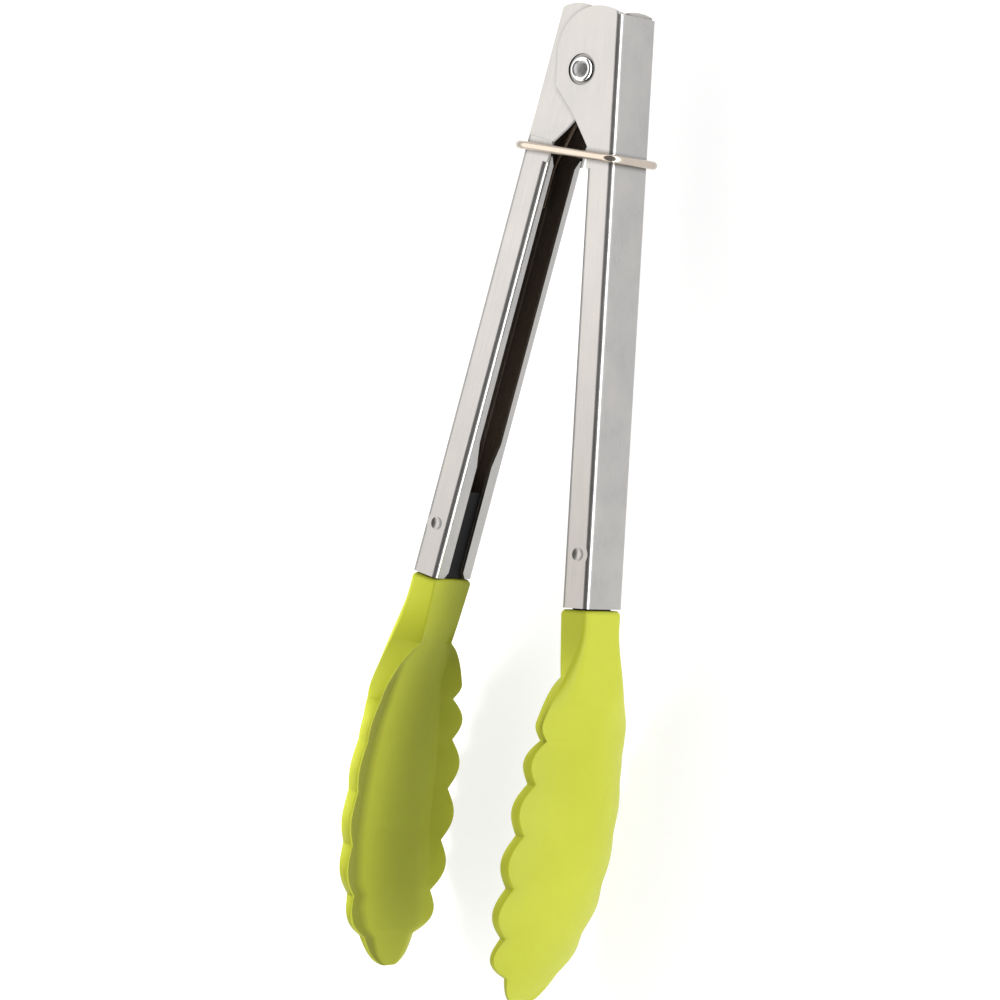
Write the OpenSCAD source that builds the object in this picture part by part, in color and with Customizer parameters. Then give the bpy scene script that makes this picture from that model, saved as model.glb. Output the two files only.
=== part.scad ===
// Locking kitchen tongs with scalloped silicone heads, lying on their side.
// X runs across the opening, Y runs along the tongs towards the pivot, Z is along the rivet.
// The origin is the centre of the pivot. Each arm is drawn upright in its own frame first:
// x is outwards through its back, y is upwards past the pivot, z is along the rivet.

/* [Opening] */
// Angle between each arm and the centre line when the tongs stand open
half_open = 7.1; // [5:0.1:9]

/* [Arms] */
// Width of each channel along the rivet
arm_w = 15.6; // [14:0.1:18]
// Depth of each channel, from its back to its lips
arm_d = 7.8; // [7:0.1:9]
// Distance from the pivot to the back of a channel
back_x = 10.7; // [10:0.1:12]
// Distance from the pivot to the lower end of a channel
arm_len = 130; // [115:1:150]
// Height of the back above the pivot
back_top = 13.2; // [11:0.1:15]
// Thickness of the sheet steel
sheet = 0.9; // [0.7:0.1:1]
// Outside radius of the long bends
bend_r = 1.5; // [1.2:0.1:2]
// Width of each inward lip along most of the arm
lip_w = 3.2; // [2.4:0.1:4]
// Width of each lip beside the head's tang
lip_low_w = 4.7; // [4:0.1:5.4]
// Radius of the rounded top of each ear
ear_r = 11.2; // [10:0.1:12]
// Side gap between the two pairs of ears
ear_gap = 0.12; // [0.08:0.01:0.2]

/* [Pivot] */
// Outside radius of the hollow rivet
rivet_r = 2.5; // [2.2:0.1:3]
// Radius of the hole through the rivet
rivet_bore_r = 1.6; // [1.2:0.1:1.8]
// Radial gap between the rivet and the turning ears
rivet_gap = 0.06; // [0.03:0.01:0.09]
// Thickness of the spring wire
spring_wire = 1.4; // [1:0.1:1.6]
// Number of full turns in the spring
spring_turns = 6; // [4:1:6]
// Length of each spring leg below the pivot
spring_leg = 36; // [30:1:40]

/* [Lock ring] */
// Thickness of the ring wire
ring_wire = 2; // [1.6:0.1:2.4]
// Inside width of the ring across the opening
ring_w = 28; // [27.6:0.1:29]
// Inside depth of the ring along the rivet
ring_d = 17; // [16.8:0.1:19]
// Distance from the pivot down to the ring
ring_y = 20.2; // [20:0.1:21]

/* [Heads] */
// Distance from the pivot to the tip of a head
head_tip = 227.8; // [217.8:0.5:240]
// Half of the greatest width of a head
head_half_w = 21.8; // [18:0.1:24]
// Half of the width of a head's neck
neck_w = 7.7; // [7.2:0.1:7.8]
// Depth of the notches between the scallops, along the slope of the side
notch = 3.1; // [1:0.1:3.6]
// Depth of the scoop inside a head
scoop = 2.5; // [1.5:0.05:3.2]
// Thickness of a head's edge
edge = 2.75; // [2.2:0.05:3.2]

/* [Hidden] */
$fn = 64;

steel = "silver";
lime = "yellowgreen";
lip_x = back_x - arm_d;            // the plane of the lips
hw = arm_w / 2;
ear_in = hw - sheet - ear_gap;     // outer face of the inner arm's ears
ear_cx = 3.9;                      // centre of the rounded top of an ear
ear_cy = 4.2;
ear_left = ear_cx - ear_r;         // straight side of an ear
tang_top = 107.6;
dimple_y = 117;
neck_y = arm_len + 0.4;            // upper face of a head

// ---------- shared shapes of the two arms ----------

// A rectangle with round corners, made of exact arcs
module round_rect(x0, x1, half, r) {
  translate([x0 + r, -half]) square([x1 - x0 - 2 * r, 2 * half]);
  translate([x0, -half + r]) square([x1 - x0, 2 * half - 2 * r]);
  for (x = [x0 + r, x1 - r], z = [-half + r, half - r]) translate([x, z]) circle(r);
}

// Section of the channel across its length, with lips of the given width
module channel_section(lip) {
  difference() {
    round_rect(lip_x, back_x, hw, bend_r);
    round_rect(lip_x + sheet, back_x - sheet, hw - sheet, bend_r - sheet);
    translate([lip_x - 1, -hw + lip]) square([sheet + 3, arm_w - 2 * lip]);
  }
}

// Section with no lips, as it is beside the ears
module open_section() {
  difference() {
    round_rect(lip_x - 4, back_x, hw, bend_r);
    round_rect(lip_x - 9, back_x - sheet, hw - sheet, bend_r - sheet);
    translate([lip_x - 5, -hw - 1]) square([5, arm_w + 2]);
  }
}

// A section in x and z drawn along y from y0 down to y1
module along(y0, y1) {
  translate([0, y0, 0]) rotate([90, 0, 0]) linear_extrude(y0 - y1) children();
}

// Lower corners of an ear: a straight side, then a slightly bent slope to the channel
ear_low = [[ear_left, -3.9], [-2.1, -10.4], [lip_x + 0.1, -18.9]];

// Outline of an ear seen along the rivet
module ear_outline(right) {
  difference() {
    union() {
      translate([ear_cx, ear_cy]) circle(ear_r, $fn = 128);
      polygon([[ear_left, ear_cy], ear_low[0], ear_low[1], ear_low[2], [lip_x + 0.1, -24],
               [right + 2, -24], [right + 2, ear_cy], [ear_cx, ear_cy + ear_r - 2]]);
      translate([ear_cx, ear_cy]) square([right - ear_cx, back_top - ear_cy]);
    }
    translate([right, -40]) square([20, 80]);
  }
}

module plate(z, thick, right) {
  translate([0, 0, z]) linear_extrude(thick) ear_outline(right);
}

// The long channel below the ears, with wider lips beside the tang and its stake marks
module channel() {
  difference() {
    union() {
      along(-18.8, -24) open_section();
      along(-22.4, -arm_len) channel_section(lip_w);
      along(-101, -arm_len) channel_section(lip_low_w);
      // the lips widen on a slope
      for (s = [-1, 1]) mirror([0, 0, s < 0 ? 1 : 0])
        translate([lip_x, 0, 0]) rotate([90, 0, 90]) linear_extrude(sheet)
          polygon([[-95, hw - lip_w], [-101.1, hw - lip_low_w], [-101.1, hw - 2], [-95, hw - 2]]);
    }
    // the lips start on a slope under the ring
    for (s = [-1, 1]) mirror([0, 0, s < 0 ? 1 : 0])
      translate([lip_x - 1, 0, 0]) rotate([90, 0, 90]) linear_extrude(sheet + 1.6)
        polygon([[-22, hw - bend_r], [-22, 0], [-26, 0], [-24.8, hw - lip_w - 0.1]]);
    // the inner corners of the lips are clipped at the lower end
    for (s = [-1, 1]) mirror([0, 0, s < 0 ? 1 : 0])
      translate([lip_x - 1, 0, 0]) rotate([90, 0, 90]) linear_extrude(sheet + 1.6)
        polygon([[-arm_len - 1, 0], [-arm_len - 1, hw - 3.4], [-arm_len, hw - 3.4],
                 [-arm_len + 1.6, hw - lip_low_w - 0.1], [-arm_len + 1.6, 0]]);
    stake_marks(3.2);
  }
  // the wall behind each mark is pushed in
  difference() {
    stake_marks(3.95);
    stake_marks(3.2);
    for (s = [-1, 1]) translate([0, -arm_len, s * (hw + 5) - 5]) cube([20, 40, 10]);
  }
}

// Dents that hold the tang of the head
module stake_marks(r) {
  for (s = [-1, 1]) translate([7, -dimple_y, s * (hw + 2.75)]) sphere(r);
}

// Hole for the rivet, right through both walls of an arm
module rivet_hole(r) {
  translate([0, 0, -hw - 2]) cylinder(h = arm_w + 4, r = r);
}

// Back and bends above the ring
module upper_back() {
  intersection() {
    along(back_top, -19.5) open_section();
    translate([back_x - bend_r - 0.3, -21, -hw - 1]) cube([bend_r + 1, 21 + back_top, arm_w + 2]);
  }
}

// ---------- the two arms ----------

module outer_arm_upright() {
  difference() {
    union() {
      upper_back();
      channel();
      for (s = [0, 1]) mirror([0, 0, s]) plate(hw - sheet, sheet, back_x - bend_r);
    }
    rivet_hole(rivet_r);
    // shallow seats for the rolled ends of the rivet
    for (s = [0, 1]) mirror([0, 0, s]) translate([0, 0, hw - 0.35]) cylinder(h = 2, r = rivet_r + 1.35);
  }
}

// Space inside which the inner arm stays above its slopes, seen along x
module set_in_space() {
  rotate([90, 0, 90]) translate([0, 0, -20]) linear_extrude(60)
    polygon([[20, ear_in], [-14.6, ear_in], [-19.3, hw], [-19.3, hw + 1], [-26, hw + 1],
             [-26, -hw - 1], [-19.3, -hw - 1], [-19.3, -hw], [-14.6, -ear_in], [20, -ear_in]]);
}

// The inner arm's ears are set in by one sheet so that they turn between the outer arm's ears
module inner_arm_upright() {
  difference() {
    union() {
      intersection() {
        upper_back();
        set_in_space();
      }
      channel();
      for (s = [0, 1]) mirror([0, 0, s]) {
        // set-in ear
        intersection() {
          plate(ear_in - sheet, sheet, back_x - 0.4);
          translate([-20, -14.7, 0]) cube([40, 40, 20]);
        }
        // slope from the ear down to the channel wall
        intersection() {
          translate([-20, 0, 0]) rotate([90, 0, 90]) linear_extrude(40)
            polygon([[-14.6, ear_in], [-14.6, ear_in - sheet], [-19.5, hw - sheet],
                     [-24, hw - sheet], [-24, hw], [-19.3, hw]]);
          plate(0, hw + 1, back_x - 0.4);
          along(-14, -24.5) round_rect(lip_x - 4, back_x, hw, bend_r);
        }
      }
    }
    rivet_hole(rivet_r + rivet_gap);
  }
}

module to_outer() { rotate([0, 0, half_open]) children(); }
module to_inner() { mirror([1, 0, 0]) rotate([0, 0, half_open]) children(); }

module outer_arm() { color(steel) to_outer() outer_arm_upright(); }
module inner_arm() { color(steel) to_inner() inner_arm_upright(); }

// ---------- pivot ----------

// Hollow rivet with a rolled rim at each end
module pivot_rivet() {
  seat = hw - 0.35;
  color("gainsboro") difference() {
    union() {
      translate([0, 0, -hw - 0.2]) cylinder(h = arm_w + 0.4, r = rivet_r);
      for (s = [0, 1]) mirror([0, 0, s]) {
        rotate_extrude() translate([rivet_r - 0.05, seat + 0.35]) intersection() {
          circle(0.72, $fn = 48);
          translate([-0.8, -0.35]) square([2, 2]);
        }
        translate([0, 0, seat]) cylinder(h = 0.3, r = rivet_r + 0.5);
      }
    }
    translate([0, 0, -hw - 3]) cylinder(h = arm_w + 6, r = rivet_bore_r);
    for (s = [0, 1]) mirror([0, 0, s]) rotate_extrude()
      polygon([[0, hw - 0.9], [rivet_bore_r - 0.01, hw - 0.9], [rivet_r - 0.5, hw + 0.6],
               [rivet_r - 0.5, hw + 2], [0, hw + 2]]);
  }
}

// Spring: a close coil round the rivet and two legs that press on the backs of the channels
coil_r = rivet_r + 0.5 + spring_wire / 2;
coil_h = spring_turns * (spring_wire + 0.2);
leg_x = back_x - sheet - spring_wire / 2 - 0.05;   // line of a leg inside its channel
coil_steps = 16;
wire_sides = 8;
leg_turn = half_open;
// point of the spring's centre line along a leg, in the frame of its arm
function leg_point(t, side, z) =
  let (x = coil_r + (leg_x - coil_r) * min(1, t * 1.25), y = -spring_leg * t)
    [side * (x * cos(leg_turn) - y * sin(leg_turn)), x * sin(leg_turn) + y * cos(leg_turn), z];
// point i of n along the coil, which starts at one leg and ends at the other
function coil_point(i, n) =
  let (u = i / n, a = 360 * (spring_turns + 0.5) * u + (2 * u - 1) * leg_turn)
    [-coil_r * cos(a), coil_r * sin(a), coil_h * (u - 0.5)];
coil_n = coil_steps * (spring_turns + 0.5);
spring_path = concat(
  [for (i = [8:-1:1]) leg_point(i / 8, -1, -coil_h / 2)],
  [for (i = [0:coil_n]) coil_point(i, coil_n)],
  [for (i = [1:8]) leg_point(i / 8, 1, coil_h / 2)]);

function unit(v) = v / norm(v);
function tangent(p, i) = unit(p[min(i + 1, len(p) - 1)] - p[max(i - 1, 0)]);
// one ring of points round the wire, square to its path
function wire_ring(p, i, r) =
  let (t = tangent(p, i), b = unit(cross(t, [0.05, 0.03, 1])), c = cross(b, t))
    [for (k = [0:wire_sides - 1]) p[i] + r * (cos(360 * k / wire_sides) * b + sin(360 * k / wire_sides) * c)];

module swept_wire(p, r) {
  n = len(p);
  m = wire_sides;
  polyhedron(
    [for (i = [0:n - 1]) each wire_ring(p, i, r)],
    concat(
      [for (i = [0:n - 2], k = [0:m - 1])
        [i * m + k, i * m + (k + 1) % m, (i + 1) * m + (k + 1) % m, (i + 1) * m + k]],
      [[for (k = [m - 1:-1:0]) k]],
      [[for (k = [0:m - 1]) (n - 1) * m + k]]));
}

module torsion_spring() { color("dimgray") swept_wire(spring_path, spring_wire / 2); }

// ---------- lock ring ----------

module lock_ring() {
  r = 3.4;                    // centre-line radius of the corners
  a = ring_w / 2 + ring_wire / 2;
  b = ring_d / 2 + ring_wire / 2;
  color("wheat") translate([0, -ring_y, 0]) rotate([90, 0, 0]) {
    for (x = [-1, 1]) translate([x * a, -(b - r), 0]) rotate([-90, 0, 0])
      cylinder(h = 2 * (b - r), r = ring_wire / 2, $fn = 32);
    for (z = [-1, 1]) translate([-(a - r), z * b, 0]) rotate([0, 90, 0])
      cylinder(h = 2 * (a - r), r = ring_wire / 2, $fn = 32);
    for (q = [0:3]) translate([(q == 0 || q == 3 ? 1 : -1) * (a - r), (q < 2 ? 1 : -1) * (b - r), 0])
      rotate([0, 0, 90 * q]) rotate_extrude(angle = 90) translate([r, 0]) circle(ring_wire / 2, $fn = 32);
  }
}

// ---------- heads ----------

leaf_c = 187;                          // centre of the scallops, below the pivot
leaf_up = 43;                          // reach of the scallops towards the neck
leaf_down = head_tip - leaf_c;         // reach of the scallops towards the tip
wide_c = 191;                          // widest place of the leaf
wide_up = 45.5;
wide_pow = 2.25;
flare = 11.5;                          // how far the outer shell widens where it leaves the neck

function clamp01(t) = min(1, max(0, t));
function ease(t) = let (c = clamp01(t)) c * c * (3 - 2 * c);
function spow(v, e) = sign(v) * pow(abs(v), e);

// inner plane of the rim and outer surface along the middle
function rim_x(d) = lip_x + 0.59 * ease((d - 140) / 20) - 0.01106 * pow(max(0, d - 150), 1.6);
function dome_x(d) = back_x - 0.00226 * pow(max(0, d - 170), 2.22);
// thickness of the edge, lower at the tip
function edge_h(d) = edge - 1.9 * ease((d - 195) / 32);

// angle round the leaf, 0 at the tip and 180 at the neck
function leaf_angle(d) = d > leaf_c ? acos(clamp01((d - leaf_c) / leaf_down))
                                    : 180 - acos(clamp01((leaf_c - d) / leaf_up));
// half width of the leaf before the notches are taken off
function leaf_w(d) = d > wide_c
  ? head_half_w * pow(max(0, 1 - pow((d - wide_c) / (head_tip - wide_c), wide_pow)), 1 / wide_pow)
  : head_half_w * pow(max(0, 1 - pow((wide_c - d) / wide_up, wide_pow)), 1 / wide_pow);
// which scallop an angle belongs to, counted from the tip
function scallop(a) = a < 34.6 ? 0.5 * a / 34.6 - 0.5
                               : (21.2 - sqrt(449.44 - 2.4 * (a - 34.6))) / 1.2;
// depth of the notches as a share, 0 on the crest of a scallop and about 1 between two
function notch_share(d) =
  let (a = leaf_angle(d), k = scallop(a), u = k < 0 ? k + 1 : k > 5 ? min(k - 5, 0.5) : k - floor(k),
       slope = norm([cos(a) / leaf_down, sin(a) / head_half_w]),
       side = max(0.35, sin(a) / head_half_w / slope))
    d < 149 ? 0 : (1 - abs(sin(180 * u))) / side;
function env_w(d) = d < wide_c ? max(neck_w - 0.07 * max(0, d - 131), leaf_w(d)) : leaf_w(d);
// the edge is cut inwards and also outwards along the slope of the side
function cut_w(d) = min(notch_share(d) * notch * (0.65 + 0.35 * clamp01((d - 150) / 75)), env_w(d) * 0.6);
function cut_x(d) = notch_share(d) * notch * (0.45 - 0.26 * clamp01((d - 150) / 75));
// upper corner of the edge, where the outer shell starts
function top_w(d) = d < 175 ? max(env_w(d), neck_w + flare * ease((d - 134) / 30)) : env_w(d);
function top_x(d) = let (k = ease((d - 132) / 38)) (1 - k) * (back_x - bend_r) + k * (rim_x(d) + edge_h(d));

function scoop_in(d) = scoop * ease((d - 141) / 18) * clamp01((219 - d) / 24);
// width of the slope from the rim down to the flat floor of the scoop
function slope_w(d) = 7 * ease((d - 141) / 18) * min(1, env_w(d) / 18) * (1 - 0.4 * ease((d - 190) / 25));

dome_n = 18;    // points over the outer shell
floor_n = 8;    // points up each side of the scoop

// One cross-section of a head as a closed loop of points
function head_loop(d, shrink = 0) =
  let (cz = cut_w(d), cx = cut_x(d), xr = rim_x(d) + shrink * 0.7, xt = top_x(d), wt = top_w(d) - shrink,
       w = env_w(d) - shrink - cz, high = dome_x(d) - shrink - xt, flat = 1 - ease((d - 132) / 26),
       n = 2 + 10 * flat, m = 1 + 1.2 * flat, in = scoop_in(d), xe = xr + cx,
       zc = min(env_w(d) - slope_w(d), (w - 0.45) * 0.82))
    concat(
      [for (i = [0:dome_n]) let (t = 180 * i / dome_n, up = pow(sin(t), 2 / m), f = pow(1 - up, 2))
        [xt + cx * f + high * up, -d, (wt - cz * f) * spow(cos(t), 2 / n)]],
      [[xe + 0.45, -d, -w], [xe + 0.12, -d, -w + 0.14], [xe, -d, -w + 0.45]],
      [for (i = [1:floor_n]) let (s = i / floor_n)
        [xe * (1 - s) + xr * s + in * (1.1 * s - 0.1 * s * s), -d, -(w - 0.45) * (1 - s) - zc * s]],
      [[xr + in * 1.03, -d, 0]],
      [for (i = [floor_n:-1:1]) let (s = i / floor_n)
        [xe * (1 - s) + xr * s + in * (1.1 * s - 0.1 * s * s), -d, (w - 0.45) * (1 - s) + zc * s]],
      [[xe, -d, w - 0.45], [xe + 0.12, -d, w - 0.14], [xe + 0.45, -d, w]]);

// Stations along a head: close together round the scallops
leaf_steps = 62;
stations = concat(
  [[neck_y, 0.8], [neck_y + 0.35, 0.35], [neck_y + 1, 0], [134, 0], [137, 0], [140, 0], [143, 0]],
  [for (i = [0:leaf_steps]) let (a = 166 - (166 - 5) * i / leaf_steps)
    [a > 90 ? leaf_c + leaf_up * cos(a) : leaf_c + leaf_down * cos(a), 0]]);

// Skin over a list of closed loops with equal numbers of points
module skin(loops) {
  n = len(loops);
  m = len(loops[0]);
  polyhedron(
    [for (l = loops) each l],
    concat(
      [for (i = [0:n - 2], k = [0:m - 1]) each
        [[i * m + k, (i + 1) * m + (k + 1) % m, (i + 1) * m + k],
         [i * m + k, i * m + (k + 1) % m, (i + 1) * m + (k + 1) % m]]],
      [[for (k = [m - 1:-1:0]) k]],
      [[for (k = [0:m - 1]) (n - 1) * m + k]]));
}

module head_shell() { skin([for (s = stations) head_loop(s[0], s[1])]); }

// Stiff insert: a tang in the channel, a neck block and a thin curved plate in the leaf
plate_t = 1.3;
function core_half(d) = d < 146 ? 5.2 : 5.2 + 2.6 * ease((d - 146) / 18) - 5 * ease((d - 190) / 26);
function core_low(d) = rim_x(d) + scoop_in(d) + 1.8 - 0.8 * ease((d - 141) / 18);
function core_high(d) = let (f = ease((d - 140) / 20)) (1 - f) * (back_x - 1.9) + f * (core_low(d) + plate_t);
core_d = concat([arm_len - 0.1], [for (i = [0:18]) 134 + (206 - 134) * i / 18]);
module core_plate(grow = 0) {
  skin([for (d = core_d) let (a = core_low(d) - grow, b = core_high(d) + grow, h = core_half(d) + grow)
    [[b, -d, h], [b, -d, -h], [a, -d, -h], [a, -d, h]]]);
}

module tang() {
  difference() {
    along(-tang_top, -arm_len) round_rect(lip_x + sheet, back_x - sheet, hw - sheet, bend_r - sheet);
    stake_marks(4);
    // slope at the top of the tang
    translate([lip_x, -tang_top, -hw]) rotate([0, 0, -20]) translate([-2, 0, 0]) cube([12, 4, arm_w]);
  }
}

module head_core() {
  tang();
  core_plate();
}

module head_cover() {
  difference() {
    head_shell();
    core_plate();
  }
}

module outer_head_core() { color("dimgray") to_outer() head_core(); }
module inner_head_core() { color("dimgray") to_inner() head_core(); }
module outer_head_cover() { color(lime) to_outer() head_cover(); }
module inner_head_cover() { color(lime) to_inner() head_cover(); }

outer_arm();
inner_arm();
pivot_rivet();
torsion_spring();
lock_ring();
outer_head_core();
inner_head_core();
outer_head_cover();
inner_head_cover();
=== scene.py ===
"""Locking kitchen tongs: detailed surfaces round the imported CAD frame."""
import math

import bpy
from mathutils import Matrix, Vector


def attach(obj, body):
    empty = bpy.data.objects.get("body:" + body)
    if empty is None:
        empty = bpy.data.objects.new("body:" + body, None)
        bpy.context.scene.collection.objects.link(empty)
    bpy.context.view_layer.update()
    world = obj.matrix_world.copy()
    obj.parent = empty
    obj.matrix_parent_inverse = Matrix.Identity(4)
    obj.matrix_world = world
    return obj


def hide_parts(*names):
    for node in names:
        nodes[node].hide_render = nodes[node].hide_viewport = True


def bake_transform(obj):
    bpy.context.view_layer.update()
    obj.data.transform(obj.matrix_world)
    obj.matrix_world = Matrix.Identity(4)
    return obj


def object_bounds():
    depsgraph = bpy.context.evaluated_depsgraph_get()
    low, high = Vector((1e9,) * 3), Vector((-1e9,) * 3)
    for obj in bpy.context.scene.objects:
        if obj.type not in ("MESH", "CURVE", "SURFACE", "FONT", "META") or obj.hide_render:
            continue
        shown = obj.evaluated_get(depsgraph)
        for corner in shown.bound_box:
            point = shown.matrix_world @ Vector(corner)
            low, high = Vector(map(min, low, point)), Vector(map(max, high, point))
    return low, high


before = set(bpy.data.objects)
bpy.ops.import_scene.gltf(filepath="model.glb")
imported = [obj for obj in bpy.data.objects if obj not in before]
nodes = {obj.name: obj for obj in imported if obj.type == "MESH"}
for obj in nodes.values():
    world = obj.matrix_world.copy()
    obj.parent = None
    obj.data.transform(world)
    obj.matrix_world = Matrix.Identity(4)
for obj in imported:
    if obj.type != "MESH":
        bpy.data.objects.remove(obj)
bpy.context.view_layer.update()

MM = 0.001
HALF_OPEN = math.radians(7.1)      # angle between an arm and the centre line

# Sizes of the steel parts in millimetres. In an arm's own upright frame x is outwards through its back,
# y is upwards past the pivot and z is along the rivet.
ARM_D, BACK_X, BEND_R, SHEET = 7.8, 10.7, 1.5, 0.9
LIP_X = BACK_X - ARM_D
RIVET_R = 2.5

scene = bpy.context.scene
scene.view_settings.view_transform = "Standard"


# ---------- camera ----------

TURN, ROLL, PITCH = math.radians(35), math.radians(-9.12), math.radians(4.33)
CAMERA_SHIFT = (24.22, 103.82, 1033.65)      # millimetres, in the camera's own axes
SENSOR_W, LENS = 36.0, 153.15
CLIP_NEAR, CLIP_FAR = 0.05, 20.0


def camera_axes():
    """Rows are the camera's right, up and backward directions in the object's frame."""
    return (Matrix.Rotation(ROLL, 3, "Z") @ Matrix.Rotation(PITCH, 3, "X")
            @ Matrix.Rotation(-TURN, 3, "Y"))


def make_camera():
    axes = camera_axes()
    data = bpy.data.cameras.new("camera")
    data.sensor_width = SENSOR_W
    data.lens = LENS
    data.clip_start, data.clip_end = CLIP_NEAR, CLIP_FAR
    cam = bpy.data.objects.new("camera", data)
    scene.collection.objects.link(cam)
    tx, ty, dist = CAMERA_SHIFT
    place = axes.transposed() @ Vector((-tx, -ty, dist)) * MM
    cam.matrix_world = Matrix.Translation(place) @ axes.transposed().to_4x4()
    scene.camera = cam


make_camera()


# ---------- node helpers ----------

class Nodes:
    """A small builder for a material's node tree."""

    def __init__(self, name):
        self.mat = bpy.data.materials.new(name)
        self.mat.use_nodes = True
        self.tree = self.mat.node_tree
        self.tree.nodes.clear()
        self.out = self.tree.nodes.new("ShaderNodeOutputMaterial")
        self.shader = self.tree.nodes.new("ShaderNodeBsdfPrincipled")
        self.tree.links.new(self.shader.outputs[0], self.out.inputs[0])

    def add(self, kind, inputs=None, **props):
        node = self.tree.nodes.new(kind)
        for key, value in props.items():
            setattr(node, key, value)
        for key, value in (inputs or {}).items():
            self.put(node.inputs[key], value)
        return node

    def put(self, socket, value):
        if isinstance(value, bpy.types.NodeSocket):
            self.tree.links.new(value, socket)
        else:
            socket.default_value = value

    def coords(self, turn=0.0, scale=(1, 1, 1)):
        """Object coordinates turned about Z, then scaled."""
        source = self.add("ShaderNodeTexCoord").outputs["Object"]
        turned = self.add("ShaderNodeMapping", {"Vector": source, "Rotation": (0, 0, turn)})
        return self.add("ShaderNodeMapping", {"Vector": turned.outputs[0], "Scale": scale}).outputs[0]

    def noise(self, vector, scale, detail=3.0, rough=0.55):
        return self.add("ShaderNodeTexNoise", {"Vector": vector, "Scale": scale, "Detail": detail,
                                               "Roughness": rough}).outputs["Fac"]

    def spread(self, value, low, high, to_low, to_high):
        """Maps low..high to to_low..to_high, held at the ends."""
        node = self.add("ShaderNodeMapRange", {"Value": value, "From Min": low, "From Max": high,
                                               "To Min": to_low, "To Max": to_high})
        return node.outputs["Result"]

    def span(self, value, ends, to_low, to_high):
        """The same between two places given in millimetres."""
        return self.spread(value, ends[0] * MM, ends[1] * MM, to_low, to_high)

    def math(self, operation, a, b=0.0):
        node = self.add("ShaderNodeMath", operation=operation)
        for socket, value in zip(node.inputs, (a, b)):
            self.put(socket, value)
        return node.outputs[0]

    def mix(self, factor, a, b):
        node = self.add("ShaderNodeMix", data_type="RGBA")
        for key, value in (("Factor_Float", factor), ("A_Color", a), ("B_Color", b)):
            self.put(next(s for s in node.inputs if s.identifier == key), value)
        return next(s for s in node.outputs if s.identifier == "Result_Color")

    def bump(self, height, strength, distance):
        return self.add("ShaderNodeBump", {"Height": height, "Strength": strength,
                                           "Distance": distance}).outputs[0]

    def set(self, **values):
        for key, value in values.items():
            self.put(self.shader.inputs[key.replace("_", " ")], value)


def grey(value, warm=0.0):
    """A grey, shifted from blue to red by the share warm."""
    return (value * (1 + warm), value, value * (1 - warm), 1.0)


# ---------- materials ----------

STEEL_LOW, STEEL_HIGH = grey(0.425, 0.012), grey(0.470, 0.03)
# painted shade for the inside of the channel
STEEL_INSIDE_SHADE = (0.230, 0.188, 0.152, 1)
# painted shade for the side walls beside the head
STEEL_WALL_SHADE = (0.22, 0.20, 0.185, 1)
# painted shade for seams and steps
STEEL_SEAM_SHADE = grey(0.14, 0.03)
WALL_SHADE_SHARE = {1: 0.45, -1: 0.28}    # how much painted shade darkens the side walls of the outer and inner arm beside the head

# Where the looks of the steel change, in millimetres of an arm's own frame. A single value lies within the
# sheet's thickness, between the inner and the outer face; a pair is the two ends of a fade.
WALL_MID = 7.1
EAR_MID = {1: 7.1, -1: 6.3}         # the inner arm's ears stand one sheet further in
EAR_SLOPE_Y = (-19.0, -14.6)        # the slope from one to the other
MID_FADE = 0.2
WALL_OUTSIDE_Z = (7.3, 7.6)
BACK_INSIDE_X = (9.95, 10.2)
LIP_INSIDE_X = (3.3, 3.6)
EAR_TOP_Y = (3.0, 8.0)              # above this the ears get no painted shade inside
WALL_SHADE_Y = (-122, -45)                # full beside the head, gone further up
SEAM_SHADE_REACH = 1.7                    # how far the painted shade of a seam or a step reaches over the steel beside it


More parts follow.
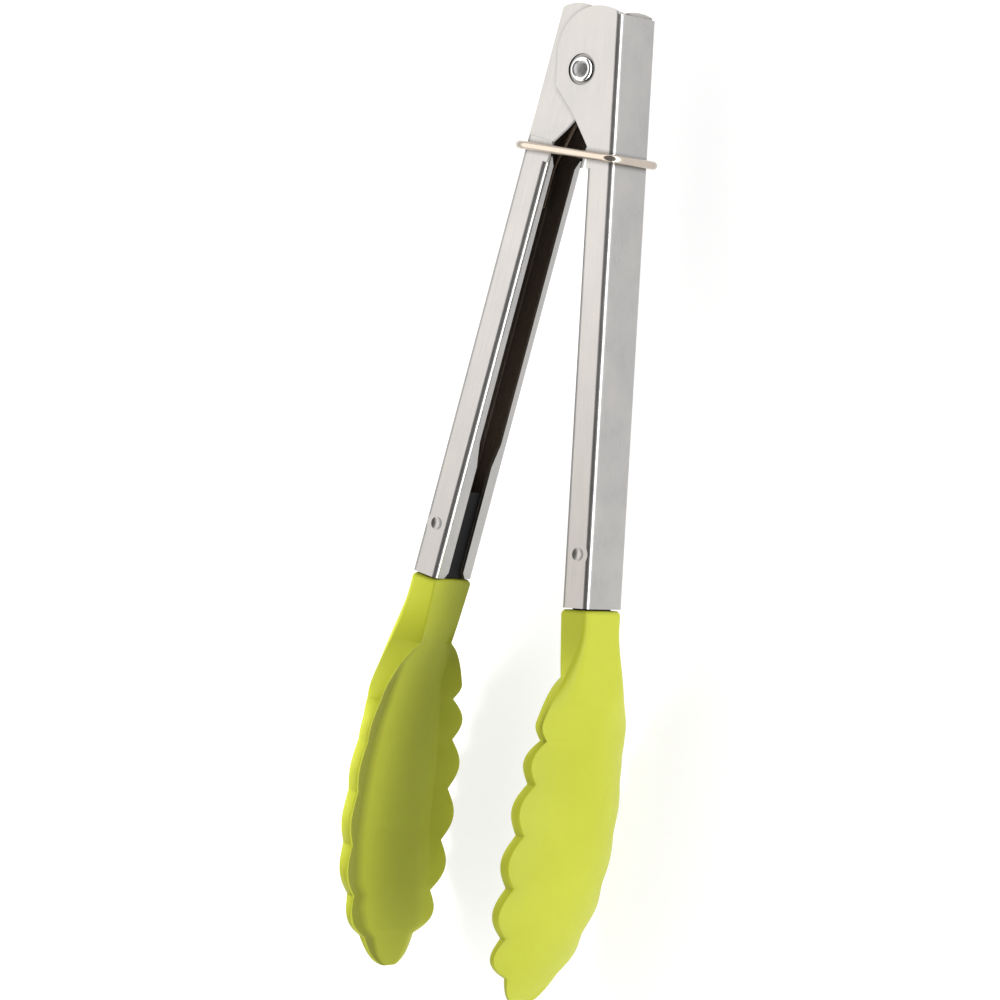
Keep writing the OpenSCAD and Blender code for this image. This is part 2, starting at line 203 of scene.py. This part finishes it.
def arm_material(name, side):
    """Satin stainless steel: grain along the arm and clouding, with painted shade inside the channel, on
    the side walls beside the head and in seams.
    """
    n = Nodes(name)
    local = n.coords(turn=-side * HALF_OPEN)
    split = n.add("ShaderNodeSeparateXYZ", {"Vector": local})
    x, y = n.math("MULTIPLY", split.outputs["X"], side), split.outputs["Y"]
    z = n.math("ABSOLUTE", split.outputs["Z"])
    # Painted shade mask: 1 inside the channel and 0 on its outer faces
    above_ring = n.span(y, EAR_SLOPE_Y, 0.0, 1.0)
    limit = n.spread(above_ring, 0.0, 1.0, WALL_MID * MM, EAR_MID[side] * MM)
    inside_shade = n.math("MULTIPLY", n.span(n.math("SUBTRACT", z, limit), (0.0, MID_FADE), 1.0, 0.0),
                    n.span(x, BACK_INSIDE_X, 1.0, 0.0))
    inside_shade = n.math("MULTIPLY", inside_shade, n.span(x, LIP_INSIDE_X, 0.0, 1.0))
    inside_shade = n.math("MULTIPLY", inside_shade, n.span(y, EAR_TOP_Y, 1.0, 0.0))
    grain = n.noise(n.coords(turn=-side * HALF_OPEN, scale=(900, 26, 900)), 3.0, 2.0)
    cloud = n.noise(local, 95.0, 4.0)
    colour = n.mix(n.spread(cloud, 0.35, 0.7, 0.0, 1.0), STEEL_LOW, STEEL_HIGH)
    # painted shade: the side walls get darker towards the head
    wall_shade = n.math("MULTIPLY", n.span(z, WALL_OUTSIDE_Z, 0.0, 1.0), n.span(y, WALL_SHADE_Y, WALL_SHADE_SHARE[side], 0.0))
    colour = n.mix(wall_shade, colour, STEEL_WALL_SHADE)
    # painted shade: ambient occlusion darkens the steel in seams and beside steps
    seam_shade = n.add("ShaderNodeAmbientOcclusion", {"Distance": SEAM_SHADE_REACH * MM}, samples=8).outputs["AO"]
    colour = n.mix(n.spread(seam_shade, 0.40, 0.97, 0.0, 1.0), STEEL_SEAM_SHADE, colour)
    # painted shade: the inside of the channel is made darker and browner
    colour = n.mix(inside_shade, colour, STEEL_INSIDE_SHADE)
    rough = n.math("ADD", n.spread(grain, 0.3, 0.7, 0.24, 0.31), n.spread(cloud, 0.3, 0.7, 0.0, 0.05))
    height = n.math("ADD", n.math("MULTIPLY", grain, 0.35), n.noise(local, 420.0, 2.0))
    n.set(Base_Color=colour, Metallic=n.spread(inside_shade, 0.0, 1.0, 1.0, 0.4), Roughness=rough,
          Normal=n.bump(height, 0.065, 0.00012))
    return n.mat


def polished_material(name, low, high, rough, scale, bore_r=0.0):
    """Polished metal with faint handling marks, left matt within bore_r millimetres of the pivot's axis."""
    n = Nodes(name)
    local = n.coords()
    cloud = n.noise(local, scale, 3.0)
    colour, metal = n.mix(cloud, low, high), 1.0
    polish = n.spread(cloud, 0.3, 0.7, rough, rough + 0.07)
    if bore_r:
        split = n.add("ShaderNodeSeparateXYZ", {"Vector": local})
        radius = n.math("SQRT", n.math("ADD", n.math("POWER", split.outputs["X"], 2.0),
                                       n.math("POWER", split.outputs["Y"], 2.0)))
        matt = n.span(radius, (bore_r - 0.1, bore_r + 0.1), 1.0, 0.0)
        colour = n.mix(matt, colour, grey(0.86))
        metal = n.spread(matt, 0.0, 1.0, 1.0, 0.25)
        polish = n.math("ADD", polish, n.math("MULTIPLY", matt, 0.4))
    n.set(Base_Color=colour, Metallic=metal, Roughness=polish,
          Normal=n.bump(n.noise(local, 900.0, 2.0), 0.06, 0.00008))
    return n.mat


def spring_material():
    """Drawn spring wire, darker and rougher than the rest."""
    n = Nodes("drawn_spring_wire")
    cloud = n.noise(n.coords(), 160.0, 3.0)
    n.set(Base_Color=n.mix(cloud, (0.16, 0.12, 0.09, 1), (0.34, 0.28, 0.22, 1)), Metallic=1.0,
          Roughness=n.spread(cloud, 0.3, 0.7, 0.22, 0.4), Normal=n.bump(cloud, 0.2, 0.0001))
    return n.mat


def nylon_material():
    """Black moulded nylon with a fine grain."""
    n = Nodes("black_moulded_nylon")
    fine = n.noise(n.coords(), 1500.0, 2.0)
    cloud = n.noise(n.coords(), 120.0, 3.0)
    n.set(Base_Color=n.mix(cloud, (0.004, 0.004, 0.005, 1), (0.008, 0.008, 0.010, 1)),
          Roughness=n.spread(cloud, 0.3, 0.7, 0.50, 0.62), Normal=n.bump(fine, 0.25, 0.00006))
    n.shader.inputs["Specular IOR Level"].default_value = 0.12
    return n.mat


LIME_LOW, LIME_HIGH = (0.300, 0.322, 0.018, 1), (0.322, 0.346, 0.023, 1)
# painted shade for the dish of the head
LIME_DISH_SHADE = (0.140, 0.148, 0.004, 1)


def silicone_material():
    """Lime silicone: satin, a little translucent, with a fine moulded grain and painted shade in the dish.
    """
    n = Nodes("lime_silicone")
    local = n.coords()
    cloud = n.noise(local, 38.0, 4.0)
    speck = n.noise(local, 1400.0, 2.0)
    colour = n.mix(n.spread(cloud, 0.35, 0.65, 0.0, 1.0), LIME_LOW, LIME_HIGH)
    dish_shade = n.add("ShaderNodeAttribute", attribute_name="dish_shade").outputs["Fac"]
    # painted shade in the dish, as much as the mesh attribute gives
    colour = n.mix(dish_shade, colour, LIME_DISH_SHADE)
    height = n.math("ADD", n.math("MULTIPLY", speck, 0.5), n.noise(local, 420.0, 3.0))
    n.set(Base_Color=colour, Roughness=n.spread(speck, 0.3, 0.7, 0.46, 0.56),
          Normal=n.bump(height, 0.16, 0.00022))
    s = n.shader.inputs
    s["IOR"].default_value = 1.41
    s["Subsurface Weight"].default_value = 0.12
    s["Subsurface Radius"].default_value = (1.0, 0.9, 0.15)
    s["Subsurface Scale"].default_value = 0.0015
    s["Specular IOR Level"].default_value = 0.32
    s["Sheen Weight"].default_value = 0.02
    s["Sheen Roughness"].default_value = 0.4
    return n.mat


def floor_material():
    """Pale studio paper."""
    n = Nodes("studio_paper")
    cloud = n.noise(n.coords(), 6.0, 3.0)
    n.set(Base_Color=n.mix(cloud, grey(0.29), grey(0.31)), Roughness=0.9,
          Normal=n.bump(n.noise(n.coords(), 700.0, 2.0), 0.03, 0.0002))
    # lit from behind like a studio light table, so that the shadows stay faint
    n.set(Emission_Color=grey(1.0), Emission_Strength=0.78)
    return n.mat


def dress(obj, material, smooth=True):
    """Gives an object its one material, and smooth shading unless it comes from the CAD."""
    obj.data.materials.clear()
    obj.data.materials.append(material)
    if smooth:
        for p in obj.data.polygons:
            p.use_smooth = True
    return obj


# ---------- mesh helpers ----------

def mesh_object(name, verts, faces):
    """A new object from points in millimetres."""
    mesh = bpy.data.meshes.new(name)
    mesh.from_pydata([[c * MM for c in v] for v in verts], [], faces)
    mesh.validate()
    mesh.update()
    obj = bpy.data.objects.new(name, mesh)
    scene.collection.objects.link(obj)
    return obj


def loft(loops):
    """A closed skin over a list of loops with equal numbers of points."""
    count = len(loops[0])
    verts = [p for loop in loops for p in loop]
    faces = []
    for i in range(len(loops) - 1):
        for k in range(count):
            k2 = (k + 1) % count
            faces.append((i * count + k, i * count + k2, (i + 1) * count + k2, (i + 1) * count + k))
    faces.append(tuple(range(count - 1, -1, -1)))
    faces.append(tuple((len(loops) - 1) * count + k for k in range(count)))
    return verts, faces


def to_side(point, side):
    """A point of the upright arm frame, put on the outer (+1) or inner (-1) arm."""
    x, y, z = point
    c, s = math.cos(HALF_OPEN), math.sin(HALF_OPEN)
    return (side * (x * c - y * s), x * s + y * c, z)


# ---------- silicone heads ----------

# Millimetres; d is always the distance below the pivot along the head
HEAD_TIP, HEAD_HALF_W, NECK_W = 227.8, 21.8, 7.7
NOTCH, SCOOP, EDGE = 3.1, 2.5, 2.75      # depths of a notch and of the dish, and thickness of the edge
LEAF_C, LEAF_UP = 187.0, 43.0            # centre of the scallops and their reach towards the neck
LEAF_DOWN = HEAD_TIP - LEAF_C
WIDE_C, WIDE_UP, WIDE_POW = 191.0, 45.5, 2.25        # widest place of the leaf, and how full it is
FLARE = 11.5                             # how far the outer shell widens where it leaves the neck
NECK_END = 132.0                         # the shell starts to open out here
DISH_START, DISH_FADE = 141.0, 18.0      # the dish deepens over this length
NOTCH_START = 149.0                      # no notches above this
RIM_BEND, RIM_POW = 0.01106, 1.6         # how the rim and the outer surface curve inwards to the tip
DOME_BEND, DOME_POW = 0.00226, 2.22
TIP_EDGE_LOSS = 1.9                      # how much thinner the edge is at the tip
TIP_ANGLE = 34.6                         # half of the rounded tip, in degrees round the leaf
SCALLOP_ANGLE, SCALLOP_STEP = 21.2, 0.6  # the first scallop, and how fast the next ones get narrower
SLOPE_W = 7.0                            # greatest width of the slope into the dish
# Round lower corner of the edge, as steps across from the rim's plane and in from the side
EDGE_ROUND = ((0.45, 0.0), (0.26, 0.035), (0.12, 0.14), (0.035, 0.27), (0.0, 0.45))


def clamp01(t):
    return min(1.0, max(0.0, t))


def ease(t):
    t = clamp01(t)
    return t * t * (3 - 2 * t)


def spow(v, e):
    """A power that keeps the sign."""
    return math.copysign(abs(v) ** e, v)


def dish_share(d):
    """0 on the neck and 1 where the dish has its full depth."""
    return ease((d - DISH_START) / DISH_FADE)


def rim_x(d):
    """Plane of the rim, which curves inwards to the tip."""
    return LIP_X + 0.59 * ease((d - 140) / 20) - RIM_BEND * max(0.0, d - 150) ** RIM_POW


def dome_x(d):
    """Outer surface along the middle."""
    return BACK_X - DOME_BEND * max(0.0, d - 170) ** DOME_POW


def edge_h(d):
    """Thickness of the edge, lower at the tip."""
    return EDGE - TIP_EDGE_LOSS * ease((d - 195) / 32)


def leaf_angle(d):
    """Angle round the leaf, 0 at the tip and 180 at the neck."""
    if d > LEAF_C:
        return math.degrees(math.acos(clamp01((d - LEAF_C) / LEAF_DOWN)))
    return 180 - math.degrees(math.acos(clamp01((LEAF_C - d) / LEAF_UP)))


def leaf_w(d):
    """Half width of the leaf before the notches are taken off."""
    reach = (d - WIDE_C) / (HEAD_TIP - WIDE_C) if d > WIDE_C else (WIDE_C - d) / WIDE_UP
    return HEAD_HALF_W * max(0, 1 - reach ** WIDE_POW) ** (1 / WIDE_POW)


def scallop(a):
    """Which scallop an angle belongs to, counted from the tip."""
    if a < TIP_ANGLE:
        return 0.5 * a / TIP_ANGLE - 0.5
    root = math.sqrt(SCALLOP_ANGLE ** 2 - 4 * SCALLOP_STEP * (a - TIP_ANGLE))
    return (SCALLOP_ANGLE - root) / (2 * SCALLOP_STEP)


def notch_share(d):
    """Depth of the notches as a share, 0 on the crest of a scallop."""
    if d < NOTCH_START:
        return 0.0
    a = leaf_angle(d)
    k = scallop(a)
    u = k + 1 if k < 0 else min(k - 5, 0.5) if k > 5 else k - math.floor(k)
    ca, sa = math.cos(math.radians(a)) / LEAF_DOWN, math.sin(math.radians(a)) / HEAD_HALF_W
    return (1 - abs(math.sin(math.pi * u))) / max(0.35, sa / math.hypot(ca, sa))


def neck_w(d):
    """Half width of the neck, which narrows a little downwards."""
    return NECK_W - 0.07 * max(0.0, d - 131)


def env_w(d):
    """Half width of the head before the notches are taken off."""
    return max(neck_w(d), leaf_w(d)) if d < WIDE_C else leaf_w(d)


def cut_w(d):
    """How far a notch cuts the edge inwards."""
    return min(notch_share(d) * NOTCH * (0.65 + 0.35 * clamp01((d - 150) / 75)), env_w(d) * 0.6)


def cut_x(d):
    """How far a notch cuts the edge outwards, along the slope of the side."""
    return notch_share(d) * NOTCH * (0.45 - 0.26 * clamp01((d - 150) / 75))


def top_w(d):
    """Half width at the upper corner of the edge, where the outer shell starts."""
    return max(env_w(d), NECK_W + FLARE * ease((d - 134) / 30)) if d < 175 else env_w(d)


def top_x(d):
    """Place of that corner across the head."""
    k = ease((d - NECK_END) / 38)
    return (1 - k) * (BACK_X - BEND_R) + k * (rim_x(d) + edge_h(d))


def scoop_in(d):
    """Depth of the dish below the rim."""
    return SCOOP * dish_share(d) * clamp01((219 - d) / 24)


def slope_w(d):
    """Width of the slope from the rim down to the flat floor of the dish."""
    return SLOPE_W * dish_share(d) * min(1.0, env_w(d) / 18) * (1 - 0.4 * ease((d - 190) / 25))


DOME_N, FLOOR_N, FLAT_N = 72, 44, 8      # steps over the shell, up each slope and across the floor
LEAF_STEPS, NECK_STEPS = 330, 16
LEAF_ANGLES = (166, 5)                   # from the neck to just before the tip
NECK_LOW = 145.0                         # last cross-section above the closely spaced ones of the leaf


def head_loop(d, shrink=0.0):
    """One cross-section: outer shell, edge, inner slope, flat floor and back."""
    cz, cx = cut_w(d), cut_x(d)
    xr, xt = rim_x(d) + shrink * 0.7, top_x(d)
    wt, w = top_w(d) - shrink, env_w(d) - shrink - cz
    high = dome_x(d) - shrink - xt
    flat = 1 - ease((d - NECK_END) / 26)         # 1 where the section is the neck's flat box
    n, m = 2 + 10 * flat, 1 + 1.2 * flat
    deep, xe = scoop_in(d), xr + cx
    corner = EDGE_ROUND[-1][1]
    zc = min(env_w(d) - slope_w(d), (w - corner) * 0.82)
    loop = []
    for i in range(DOME_N + 1):
        t = math.pi * i / DOME_N
        up = max(0.0, math.sin(t)) ** (2 / m)
        f = (1 - up) ** 2
        loop.append((xt + cx * f + high * up, -d, (wt - cz * f) * spow(math.cos(t), 2 / n)))
    edge = [(xe + across, w - inwards) for across, inwards in EDGE_ROUND]
    loop += [(x, -d, -z) for x, z in edge]
    slope = []
    for i in range(1, FLOOR_N + 1):
        s = i / FLOOR_N
        slope.append((xe * (1 - s) + xr * s + deep * (1.1 * s - 0.1 * s * s),
                      (w - corner) * (1 - s) + zc * s))
    loop += [(x, -d, -z) for x, z in slope]
    for i in range(1, FLAT_N):
        u = 2 * i / FLAT_N - 1
        loop.append((xr + deep * (1.0 + 0.03 * (1 - abs(u))), -d, zc * u))
    loop += [(x, -d, z) for x, z in reversed(slope)]
    loop += [(x, -d, z) for x, z in reversed(edge)]
    return loop


def head_stations():
    """Distances of the cross-sections, each with how much it shrinks for the rounded upper end."""
    first = [(130.4, 0.8), (130.5, 0.58), (130.75, 0.35), (131.05, 0.14), (131.4, 0.0), (NECK_END, 0.0)]
    neck = [(NECK_END + (NECK_LOW - NECK_END) * i / NECK_STEPS, 0.0) for i in range(1, NECK_STEPS + 1)]
    leaf = []
    start, stop = LEAF_ANGLES
    for i in range(LEAF_STEPS + 1):
        a = math.radians(start - (start - stop) * i / LEAF_STEPS)
        reach = LEAF_UP if a > math.pi / 2 else LEAF_DOWN
        leaf.append((LEAF_C + reach * math.cos(a), 0.0))
    return first + neck + leaf


def dish_shade_shares(d):
    """How much painted shade of the dish each point of a cross-section carries: most on the slope at +z,
    none on the slope at -z, and a little on the floor.
    """
    deep = dish_share(d)
    far = [0.0] * FLOOR_N
    near = [0.95 * deep * ease(i / 2) for i in range(FLOOR_N)]
    low = 0.06 + 0.16 * ease((d - 190) / 22)
    floor = [deep * (low + 0.12 * (2 * i / FLAT_N - 1) ** 3) for i in range(1, FLAT_N)]
    edge = [0.0] * len(EDGE_ROUND)
    return [0.0] * (DOME_N + 1) + edge + far + floor + near[::-1] + edge


def make_head(name, side, material):
    """The silicone head of the outer (+1) or inner (-1) arm."""
    stations = head_stations()
    loops = [[to_side(p, side) for p in head_loop(d, shrink)] for d, shrink in stations]
    verts, faces = loft(loops)
    if side > 0:
        faces = [tuple(reversed(f)) for f in faces]
    obj = dress(mesh_object(name, verts, faces), material)
    # painted shade shares of the dish, stored on the points
    dish_shade = obj.data.attributes.new("dish_shade", "FLOAT", "POINT")
    dish_shade.data.foreach_set("value", [v for d, _ in stations for v in dish_shade_shares(d)])
    return obj


# ---------- spring ----------

SPRING_WIRE, SPRING_TURNS, SPRING_LEG = 1.4, 6, 36.0
COIL_R = RIVET_R + 0.5 + SPRING_WIRE / 2
COIL_H = SPRING_TURNS * (SPRING_WIRE + 0.2)
LEG_X = BACK_X - SHEET - SPRING_WIRE / 2 - 0.05      # line of a leg inside its channel
LEG_STEPS, COIL_STEPS, WIRE_SIDES = 24, 40, 20


def spring_path():
    """Centre line of the wire: one leg, the coil round the rivet, the other leg."""
    path = []

    def leg(t, side, z):
        x = COIL_R + (LEG_X - COIL_R) * ease(min(1.0, t * 1.25))
        path.append(to_side((x, -SPRING_LEG * t, z), side))

    for i in range(LEG_STEPS, 0, -1):
        leg(i / LEG_STEPS, -1, -COIL_H / 2)
    turns = SPRING_TURNS + 0.5
    count = int(turns * COIL_STEPS)
    for i in range(count + 1):
        u = i / count
        a = 2 * math.pi * turns * u + (2 * u - 1) * HALF_OPEN
        path.append((-COIL_R * math.cos(a), COIL_R * math.sin(a), COIL_H * (u - 0.5)))
    for i in range(1, LEG_STEPS + 1):
        leg(i / LEG_STEPS, 1, COIL_H / 2)
    return path


def make_wire(name, path, radius, material):
    """A round wire along a path, with flat ends."""
    pts = [Vector(p) for p in path]
    count = len(pts)
    loops = []
    normal = None
    for i, p in enumerate(pts):
        tangent = (pts[min(i + 1, count - 1)] - pts[max(i - 1, 0)]).normalized()
        if normal is None:
            normal = tangent.orthogonal().normalized()
        normal = (normal - tangent * normal.dot(tangent)).normalized()
        other = tangent.cross(normal)
        loops.append([tuple(p + radius * (math.cos(2 * math.pi * k / WIRE_SIDES) * normal
                                          + math.sin(2 * math.pi * k / WIRE_SIDES) * other))
                      for k in range(WIRE_SIDES)])
    verts, faces = loft(loops)
    return dress(mesh_object(name, verts, faces), material)


# ---------- build ----------

steel_outer = arm_material("satin_steel_outer", 1)
steel_inner = arm_material("satin_steel_inner", -1)
rivet_steel = polished_material("rivet_steel", grey(0.70), grey(0.80), 0.12, 300.0, bore_r=1.9)
ring_steel = polished_material("polished_ring_wire", (0.50, 0.43, 0.36, 1), (0.62, 0.55, 0.47, 1),
                               0.16, 120.0)
silicone = silicone_material()
nylon = nylon_material()

for node, material in (("outer_arm", steel_outer), ("inner_arm", steel_inner),
                       ("pivot_rivet", rivet_steel), ("lock_ring", ring_steel),
                       ("outer_head_core", nylon), ("inner_head_core", nylon)):
    dress(nodes[node], material, smooth=False)

for side, body, word in ((1, "outer_side", "outer"), (-1, "inner_side", "inner")):
    head = make_head(word + "_silicone_head", side, silicone)
    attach(head, body)
    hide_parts(word + "_head_cover")

spring = make_wire("spring_wire_coil", spring_path(), SPRING_WIRE / 2, spring_material())
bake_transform(spring)
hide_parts("torsion_spring")


# ---------- floor, light ----------

FLOOR_HALF, FLOOR_GAP = 6.0, 0.0002      # metres
# Each band is an angle in degrees from straight up towards the right, a strength and a warmth
WORLD_TOP = 10.0
WORLD_BANDS = ((-180, 0.8, 0.0), (-62, 0.8, 0.0), (-50, 1.8, 0.03), (-24, 1.85, 0.03), (-12, 0.2, 0.0),
               (62, 0.2, 0.0), (76, 8.0, 0.0), (98, 8.0, 0.0), (106, 0.3, 0.0), (180, 0.3, 0.0))


def make_floor():
    """A wide floor just under the lowest point."""
    low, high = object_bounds()
    size = FLOOR_HALF
    mesh = bpy.data.meshes.new("floor")
    z = low.z - FLOOR_GAP
    mid_y = (low.y + high.y) / 2
    mesh.from_pydata([(-size, mid_y - size, z), (size, mid_y - size, z),
                      (size, mid_y + size, z), (-size, mid_y + size, z)], [], [(0, 1, 2, 3)])
    obj = bpy.data.objects.new("floor", mesh)
    scene.collection.objects.link(obj)
    obj.data.materials.append(floor_material())


def make_world():
    """Long soft lights over the tongs, as bands of angle from straight up (0) to the right (90)."""
    world = bpy.data.worlds.new("studio")
    scene.world = world
    world.use_nodes = True
    tree = world.node_tree
    coord = tree.nodes.new("ShaderNodeTexCoord").outputs["Generated"]
    split = tree.nodes.new("ShaderNodeSeparateXYZ")
    tree.links.new(coord, split.inputs[0])
    angle = tree.nodes.new("ShaderNodeMath")
    angle.operation = "ARCTAN2"
    tree.links.new(split.outputs["X"], angle.inputs[0])
    tree.links.new(split.outputs["Z"], angle.inputs[1])
    place = tree.nodes.new("ShaderNodeMapRange")
    tree.links.new(angle.outputs[0], place.inputs["Value"])
    place.inputs["From Min"].default_value = -math.pi
    place.inputs["From Max"].default_value = math.pi
    ramp = tree.nodes.new("ShaderNodeValToRGB")
    tree.links.new(place.outputs[0], ramp.inputs[0])
    ramp.color_ramp.interpolation = "EASE"
    while len(ramp.color_ramp.elements) < len(WORLD_BANDS):
        ramp.color_ramp.elements.new(0.5)
    for element, (degrees, value, warm) in zip(ramp.color_ramp.elements, WORLD_BANDS):
        element.position = degrees / 360 + 0.5
        element.color = grey(value / WORLD_TOP, warm)
    background = tree.nodes["Background"]
    tree.links.new(ramp.outputs[0], background.inputs["Color"])
    background.inputs["Strength"].default_value = WORLD_TOP


def make_softbox(name, place, aim, size, watts):
    """A soft light, from and to places in millimetres, that no polished surface mirrors."""
    data = bpy.data.lights.new(name, "AREA")
    data.shape = "SQUARE"
    data.size = size
    data.energy = watts
    obj = bpy.data.objects.new(name, data)
    scene.collection.objects.link(obj)
    start, end = Vector(place) * MM, Vector(aim) * MM
    obj.rotation_euler = (end - start).to_track_quat("-Z", "Y").to_euler()
    obj.location = start
    obj.visible_glossy = False
    obj.visible_camera = False
    return obj


make_floor()
make_world()
make_softbox("left_softbox", (-112, -152, 62), (-30, -158, 20), 0.07, 0.25)
